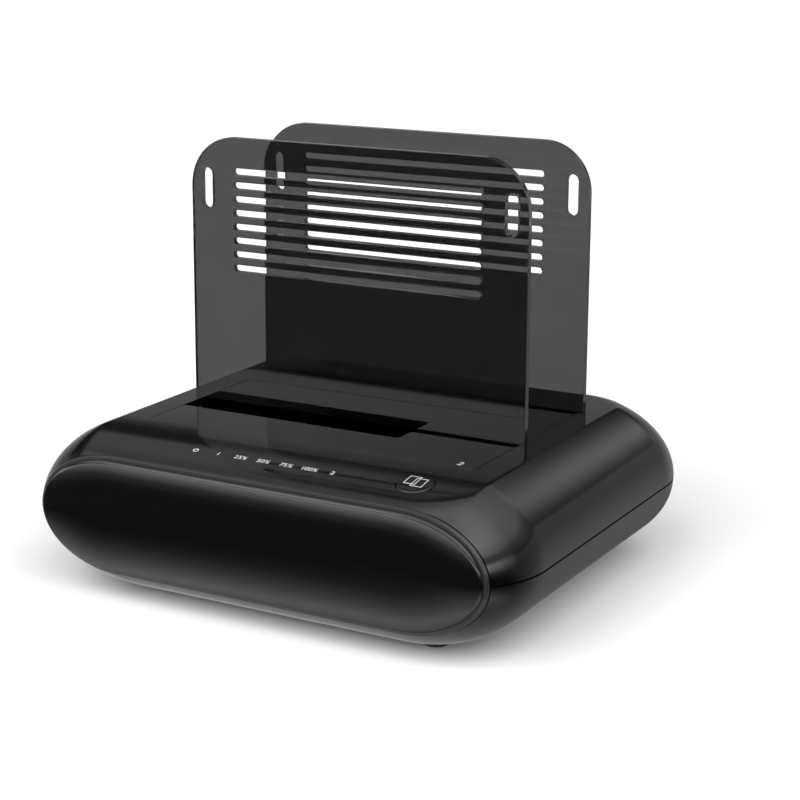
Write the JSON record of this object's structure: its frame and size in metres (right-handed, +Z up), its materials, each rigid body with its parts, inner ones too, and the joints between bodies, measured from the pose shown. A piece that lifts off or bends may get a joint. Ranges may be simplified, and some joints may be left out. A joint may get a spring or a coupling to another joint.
{
  "type": "hard drive docking station",
  "caption": "Low pebble-shaped desktop dock for bare drives: sprung bay doors in the flat top, upright smoked guard plates, copy button, light row, domed front bezel.",
  "frame": {"origin": "centre of the overall box, on the floor plane under the feet", "axes": "+X to the dock's right seen from the front, +Y from the front bezel to the rear panel, +Z up"},
  "size_m": [0.153, 0.1238, 0.1236],
  "materials": {
    "gloss_black": "polished, mirror-like",
    "smoke_acrylic": "dark translucent acrylic, polished",
    "inner_black": "fine matt moulding",
    "feet_rubber": "matt",
    "steel": "plain",
    "board": "solder mask",
    "chip": "moulded epoxy",
    "can": "sleeved can",
    "contact": "gold-plated",
    "connector": "moulded",
    "clear": "clear moulding",
    "emitter": "moulded",
    "port_blue": "moulded"
  },
  "bodies": {
    "housing": {"bottom_shell": "gloss_black", "top_shell": "gloss_black", "front_bezel": "gloss_black", "bezel_trim_ring": "gloss_black", "rear_panel": "inner_black", "bay_frame": "inner_black", "door_pin_front": "steel", "door_pin_rear": "steel", "door_spring_front": "steel", "door_spring_rear": "steel", "drive_connector_front": "connector", "drive_connector_rear": "connector", "connector_contacts_front": "contact", "connector_contacts_rear": "contact", "main_board": "board", "board_chips": "chip", "board_capacitors": "can", "power_inlet": "connector", "power_inlet_pin": "contact", "computer_port": "steel", "computer_port_tongue": "port_blue", "power_switch_frame": "inner_black", "control_board": "board", "led_emitters": "emitter", "light_pipes": "clear", "push_switch": "chip", "case_screws": "steel", "board_screws": "steel", "frame_screws": "steel", "control_screws": "steel", "foot_front_left": "feet_rubber", "foot_front_right": "feet_rubber", "foot_rear_left": "feet_rubber", "foot_rear_right": "feet_rubber"},
    "door_front": {"bay_door_front": "gloss_black"},
    "door_rear": {"bay_door_rear": "gloss_black"},
    "clone_button": {"clone_button": "gloss_black", "push_switch_plunger": "connector"},
    "power_rocker": {"power_switch_rocker": "inner_black"},
    "guard_front": {"drive_guard_front": "smoke_acrylic"},
    "guard_rear": {"drive_guard_rear": "smoke_acrylic"}
  },
  "joints": [
    {"name": "front_door_hinge", "type": "hinge", "parent": "housing", "child": "door_front", "pos_m": [0, -0.0356, 0.0411], "axis": [-1, 0, 0], "range_deg": [0, 85], "stiffness_Nm_per_rad": 0.0045, "springref_deg": -20.05},
    {"name": "rear_door_hinge", "type": "hinge", "parent": "housing", "child": "door_rear", "pos_m": [0, 0.0038, 0.0411], "axis": [-1, 0, 0], "range_deg": [0, 85], "stiffness_Nm_per_rad": 0.0045, "springref_deg": -20.05},
    {"name": "clone_button_press", "type": "slide", "parent": "housing", "child": "clone_button", "axis": [0, 0, -1], "range_m": [0, 0.0007], "stiffness_N_per_m": 300, "springref_m": -0.001},
    {"name": "power_rocker_turn", "type": "hinge", "parent": "housing", "child": "power_rocker", "pos_m": [0.022, 0.0574, 0.023], "axis": [0, 0, 1], "range_deg": [-8, 0]},
    {"name": "front_guard_lift", "type": "slide", "parent": "housing", "child": "guard_front", "axis": [0, 0, 1], "range_m": [0, 0.02]},
    {"name": "rear_guard_lift", "type": "slide", "parent": "housing", "child": "guard_rear", "axis": [0, 0, 1], "range_m": [0, 0.02]}
  ]
}
